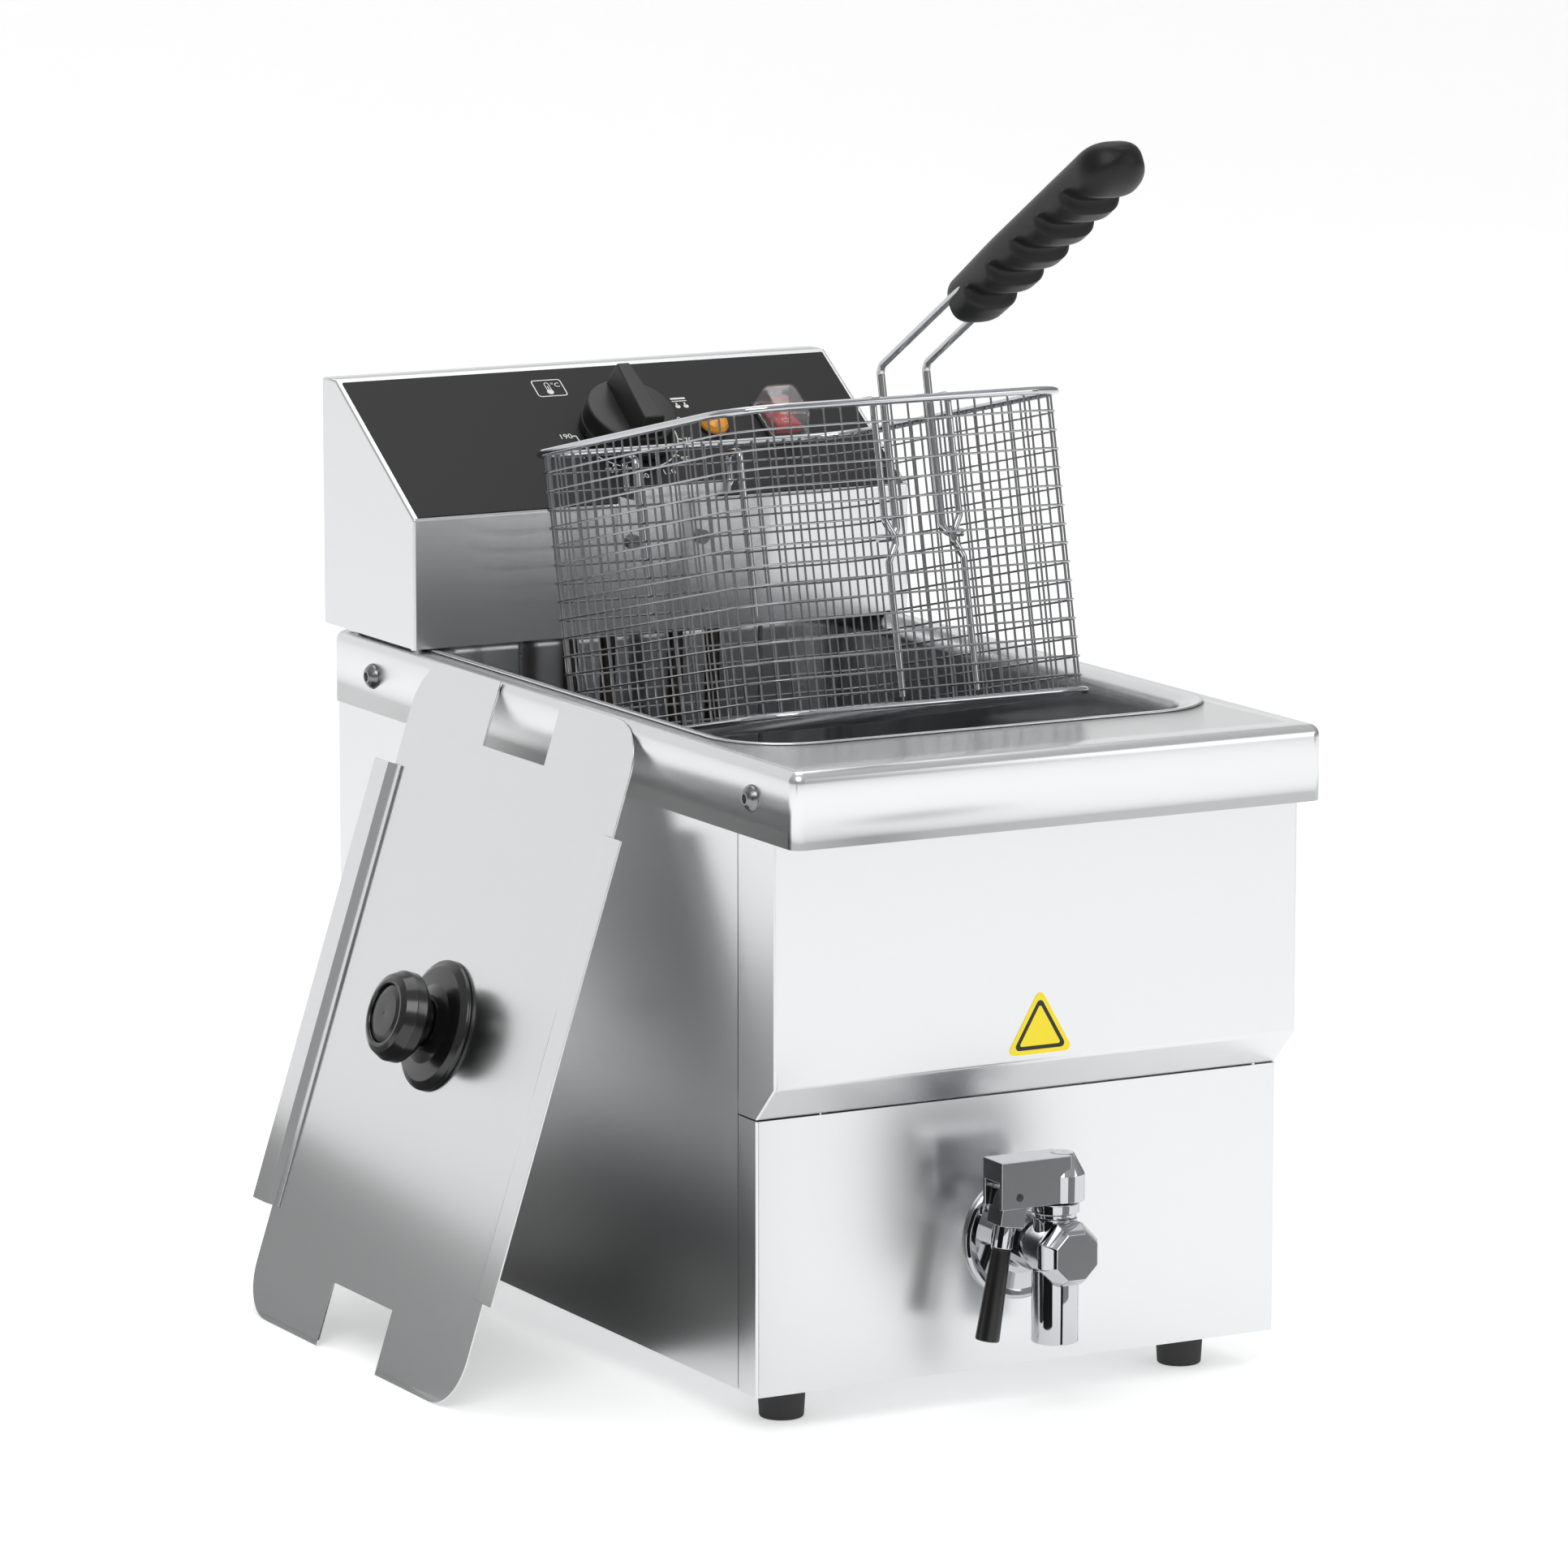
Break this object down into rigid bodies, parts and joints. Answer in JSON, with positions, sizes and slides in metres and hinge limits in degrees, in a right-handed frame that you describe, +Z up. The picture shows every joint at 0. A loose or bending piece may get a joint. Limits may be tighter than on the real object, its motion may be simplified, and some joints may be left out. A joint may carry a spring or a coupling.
{
  "type": "deep fryer",
  "caption": "Table-top electric deep fryer: steel housing with a drain tap, lift-off control head with knob and switch, wire basket hung to drain, and a leaning lid.",
  "frame": {"origin": "on the table, at the middle of the drip tray's width and depth", "axes": "+Z up, the front with the drain tap faces -Y, +X is the user's right"},
  "size_m": [0.3989, 0.5679, 0.6136],
  "materials": {
    "stainless_sheet": "satin",
    "tank_steel": "satin",
    "lid_steel": "satin",
    "plated_steel": "polished",
    "basket_wire": "plated",
    "tap_plating": "polished",
    "hinge_steel": "satin",
    "foot_rubber": "matt",
    "black_plastic": "satin",
    "grip_plastic": "satin",
    "overlay_film": "fine grain",
    "rocker_red": "glossy",
    "amber_lens": "faceted",
    "clear_boot": "clear",
    "label_yellow": "printed",
    "brass": "turned",
    "element_sheath": "satin",
    "ceramic": "glazed",
    "bakelite": "moulded"
  },
  "bodies": {
    "housing": {"base_plate": "stainless_sheet", "rubber_feet": "foot_rubber", "foot_screws": "plated_steel", "front_panel": "stainless_sheet", "left_side_panel": "stainless_sheet", "right_side_panel": "stainless_sheet", "rear_panel": "stainless_sheet", "top_tray": "stainless_sheet", "oil_tank": "tank_steel", "tray_screws": "plated_steel", "drain_elbow": "tank_steel", "front_label": "label_yellow", "tap_escutcheon": "tap_plating", "tap_body": "tap_plating", "tap_lock_nut": "brass", "tap_end_cap": "tap_plating", "tap_spout": "tap_plating", "tap_bonnet": "tap_plating"},
    "tap_valve": {"tap_plug": "brass", "tap_lever": "tap_plating", "fork_pin": "hinge_steel"},
    "tap_grip": {"grip_hinge_block": "hinge_steel", "grip_collar": "tap_plating", "grip_sleeve": "black_plastic"},
    "head": {"head_cover": "stainless_sheet", "head_rear_plate": "stainless_sheet", "head_base_plate": "stainless_sheet", "head_screws": "plated_steel", "control_overlay": "overlay_film", "thermostat_body": "bakelite", "safety_thermostat": "bakelite", "terminal_block": "ceramic", "pilot_lamp_body": "black_plastic", "pilot_lamp_lens": "amber_lens", "switch_housing": "black_plastic", "switch_boot": "clear_boot", "cable_gland": "black_plastic", "heating_element": "element_sheath", "element_flange": "brass", "thermostat_bulbs": "hinge_steel", "basket_hanger": "stainless_sheet"},
    "reset": {"reset_button": "rocker_red"},
    "rocker": {"switch_rocker": "rocker_red"},
    "knob": {"control_knob": "black_plastic", "knob_spindle": "hinge_steel"},
    "basket": {"basket_rim": "plated_steel", "basket_base_frame": "plated_steel", "basket_uprights": "basket_wire", "basket_rings": "basket_wire", "basket_floor_wires": "basket_wire", "handle_supports": "plated_steel", "handle_wires": "plated_steel", "handle_grip": "grip_plastic", "basket_rear_hook": "plated_steel"},
    "lid": {"lid_plate": "lid_steel", "lid_side_strips": "lid_steel", "lid_knob_base": "black_plastic", "lid_knob": "black_plastic", "lid_knob_cap": "black_plastic", "lid_knob_screw": "plated_steel"}
  },
  "joints": [
    {"name": "head_lift", "type": "slide", "parent": "housing", "child": "head", "axis": [0, 0, 1], "range_m": [0, 0.2]},
    {"name": "basket_lift", "type": "slide", "parent": "head", "child": "basket", "axis": [0, 0, 1], "range_m": [0, 0.15]},
    {"name": "knob_turn", "type": "hinge", "parent": "head", "child": "knob", "pos_m": [0, 0.20001, 0.42544], "axis": [0, 0.5581, -0.8298], "range_deg": [0, 270]},
    {"name": "rocker_tilt", "type": "hinge", "parent": "head", "child": "rocker", "pos_m": [0.091, 0.19973, 0.42585], "axis": [1, 0, 0], "range_deg": [0, 16]},
    {"name": "reset_press", "type": "slide", "parent": "head", "child": "reset", "axis": [0, -1, 0], "range_m": [0, 0.003], "stiffness_N_per_m": 300},
    {"name": "tap_turn", "type": "hinge", "parent": "housing", "child": "tap_valve", "pos_m": [0, -0.2446, 0.1], "axis": [0, 0, 1], "range_deg": [0, 90]},
    {"name": "grip_fold", "type": "hinge", "parent": "tap_valve", "child": "tap_grip", "pos_m": [-0.025, -0.2446, 0.1132], "axis": [0, 1, 0], "range_deg": [0, 80]},
    {"name": "lid_away", "type": "slide", "parent": "housing", "child": "lid", "axis": [-1, 0, 0], "range_m": [0, 0.25]}
  ]
}
